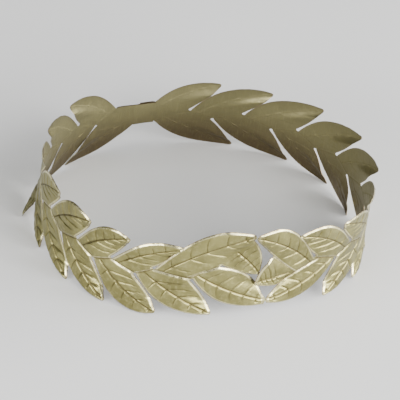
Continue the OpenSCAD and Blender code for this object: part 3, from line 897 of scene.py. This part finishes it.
# Brass colours; the bright edge colour is also a painted highlight, the darkest is tarnish and
# painted shade, and the low inner colour is painted shade
BRASS = {
    "deep": (0.21, 0.19, 0.074), "plain": (0.295, 0.27, 0.108), "light": (0.43, 0.40, 0.19),
    "worn_and_highlight": (0.82, 0.76, 0.44), "tarnish_and_shade_brown": (0.06, 0.042, 0.018), "inner": (0.215, 0.195, 0.098),
    "inner_low_shade": (0.115, 0.088, 0.05), "inner_edge": (0.33, 0.25, 0.17),
    "rim": (0.17, 0.11, 0.06)}
CLOUD_SCALE, MOTTLE_SCALE, GRAIN_SCALE = 55.0, 420.0, 2600.0
STROKE_SCALE = (1700.0, 1700.0, 130.0)  # brush strokes run up and down
# The inner face is painted darker brown towards the bottom as shade
INNER_SHADE_FROM, INNER_SHADE_TO = 0.034, 0.004  # heights in m between which the inner face turns brown
BUMP_STRENGTH, BUMP_DEPTH = 0.3, 0.00022


def brass(name, shade):
    n = Nodes(name)
    place = n.new("ShaderNodeTexCoord").outputs["Object"]
    height_z = n.new("ShaderNodeSeparateXYZ", Vector=place).outputs["Z"]
    groove, edge_gap, rim_gap, kind = (
        n.attribute(a) for a in ("groove", "edge_gap", "rim_gap", "face_kind"))
    cloud = n.noise(place, CLOUD_SCALE)
    mottle = n.noise(place, MOTTLE_SCALE)
    grain = n.noise(place, GRAIN_SCALE, 2.0, 0.5)
    stretched = n.new(
        "ShaderNodeMapping", {"Scale": STROKE_SCALE}, Vector=place).outputs["Vector"]
    strokes = n.noise(stretched, 1.0, 2.0, 0.5)

    # Outer face: brass that is worn bright in places along the bevels, where a highlight is painted
    # too, and darkened by tarnish and painted shade in the grooves and creases
    colour = n.blend(n.span(cloud, 0.35, 0.65), shade["deep"], shade["plain"])
    colour = n.blend(n.span(mottle, 0.45, 0.75, 0.0, 0.5), colour, shade["light"])
    # Worn edges, painted brighter as a highlight on the bevels
    worn_and_highlight = n.math("MULTIPLY", n.span(edge_gap, 1.35, 0.9), n.span(cloud, 0.30, 0.55))
    colour = n.blend(n.math("MULTIPLY", worn_and_highlight, 0.75), colour, shade["worn_and_highlight"])
    # Tarnish and painted shade: darker in the grooves, at the leaves' rears and in the creases
    colour = n.blend(n.math("MULTIPLY", groove, 0.9), colour, shade["tarnish_and_shade_brown"])
    colour = n.blend(n.span(rim_gap, 0.42, 0.12, 0.0, 0.85), colour, shade["rim"])

    # Inner face: plain, with painted shade that turns it darker brown towards the lower leaf tips,
    # and faint brush strokes
    inner = n.blend(n.span(height_z, INNER_SHADE_TO, INNER_SHADE_FROM), shade["inner_low_shade"], shade["inner"])
    inner = n.blend(n.span(mottle, 0.4, 0.8, 0.0, 0.25), inner, shade["deep"])
    inner = n.blend(n.span(strokes, 0.5, 0.75, 0.0, 0.12), inner, shade["light"])
    inner = n.blend(n.span(rim_gap, 0.5, 0.2, 0.0, 0.5), inner, shade["inner_edge"])
    inside = n.span(kind, 0.7, 0.9)
    colour = n.blend(inside, colour, inner)

    # Cut edge of the sheet
    rim = n.math("MULTIPLY", n.span(kind, 0.2, 0.4), n.span(kind, 0.8, 0.6))
    colour = n.blend(rim, colour, shade["rim"])
    n.tree.links.new(colour, n.shader.inputs["Base Color"])
    n.shader.inputs["Metallic"].default_value = 1.0

    # Duller in clouds, where tarnish and painted shade lie and inside, and glossier along the worn
    # edges that carry the painted highlight
    rough = n.math("ADD", n.span(cloud, 0.3, 0.7, 0.30, 0.40),
                   n.span(mottle, 0.3, 0.8, -0.03, 0.07))
    rough = n.total(rough, (groove, 0.22), (worn_and_highlight, -0.12), (inside, 0.14))
    n.tree.links.new(rough, n.shader.inputs["Roughness"])
    height = n.total(n.math("MULTIPLY", mottle, 0.6), (grain, 0.25), (strokes, 0.2))
    bump = n.new("ShaderNodeBump", {"Strength": BUMP_STRENGTH, "Distance": BUMP_DEPTH},
                 Height=height)
    n.tree.links.new(bump.outputs["Normal"], n.shader.inputs["Normal"])
    return n.material


for side, node in ((RIGHT, "right_branch"), (LEFT, "left_branch")):
    piece = build_branch(side, node + "_sheet")
    piece.data.materials.append(brass(node + "_brass", BRASS))
    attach(piece, "root")
    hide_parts(node)

# Floor, light and camera
FLOOR_SIZE, FLOOR_COLOUR, FLOOR_ROUGHNESS = 12.0, (0.80, 0.80, 0.79, 1.0), 0.9
# Soft lights: place, point that each faces, width and height in m, and power in W
LIGHTS = {
    "front": ((0.90, -1.38, 0.37), (0, 0, 0.02), (2.0, 0.62), 66.0),
    "front_high": ((0.50, -1.20, 1.15), (0, 0, 0.02), (1.3, 0.8), 19.0),
    "right": ((1.50, -0.30, 0.50), (0, 0, 0.02), (1.1, 0.6), 26.0),
    "left": ((-1.42, -0.72, 0.50), (0, 0, 0.02), (1.3, 0.6), 33.0),
    "top": ((0.1, 0.5, 1.7), (0, 0, 0.0), (1.4, 1.4), 6.0)}
SKY_COLOUR, SKY_STRENGTH = (0.82, 0.84, 0.86, 1.0), 0.31


def plain_floor():
    bpy.ops.mesh.primitive_plane_add(size=FLOOR_SIZE)
    floor = bpy.context.object
    floor.name = "floor"
    material = bpy.data.materials.new("floor_paper")
    material.use_nodes = True
    shader = material.node_tree.nodes["Principled BSDF"]
    shader.inputs["Base Color"].default_value = FLOOR_COLOUR
    shader.inputs["Roughness"].default_value = FLOOR_ROUGHNESS
    floor.data.materials.append(material)


def soft_light(name, place, target, size, power):
    data = bpy.data.lights.new(name, "AREA")
    data.shape = "RECTANGLE"
    data.size, data.size_y = size
    data.energy = power
    lamp = bpy.data.objects.new(name, data)
    lamp.location = place
    lamp.rotation_euler = (Vector(target) - Vector(place)).to_track_quat("-Z", "Y").to_euler()
    bpy.context.scene.collection.objects.link(lamp)


def sky():
    world = bpy.data.worlds.new("studio")
    world.use_nodes = True
    background = world.node_tree.nodes["Background"]
    background.inputs["Color"].default_value = SKY_COLOUR
    background.inputs["Strength"].default_value = SKY_STRENGTH
    bpy.context.scene.world = world


# Camera fitted to the photograph. Its unit is half the ring's width.
AZIMUTH, ELEVATION, ROLL = -0.470056, 0.619899, 0.176100
DISTANCE, SHIFT_RIGHT, SHIFT_UP = 20.0, 0.009377, 0.177318
FOCAL_PX, IMAGE_PX, SENSOR_MM = 3304.7, 400.0, 36.0


def photo_camera():
    back = np.array([math.sin(AZIMUTH) * math.cos(ELEVATION),
                     -math.cos(AZIMUTH) * math.cos(ELEVATION), math.sin(ELEVATION)])
    level = np.array([math.cos(AZIMUTH), math.sin(AZIMUTH), 0.0])
    upright = np.cross(back, level)
    right = math.cos(ROLL) * level + math.sin(ROLL) * upright
    up = -math.sin(ROLL) * level + math.cos(ROLL) * upright
    place = (back * DISTANCE + right * SHIFT_RIGHT + up * SHIFT_UP) * RING_HALF_W - ORIGIN
    data = bpy.data.cameras.new("photo_camera")
    data.sensor_width = SENSOR_MM
    data.lens = FOCAL_PX / IMAGE_PX * SENSOR_MM
    data.clip_start, data.clip_end = 0.05, 50.0
    camera = bpy.data.objects.new("photo_camera", data)
    turn = Matrix([list(right), list(up), list(back)]).transposed().to_4x4()
    camera.matrix_world = Matrix.Translation(Vector(place * MM)) @ turn
    bpy.context.scene.collection.objects.link(camera)
    bpy.context.scene.camera = camera


plain_floor()
for name, settings in LIGHTS.items():
    soft_light(name, *settings)
sky()
photo_camera()
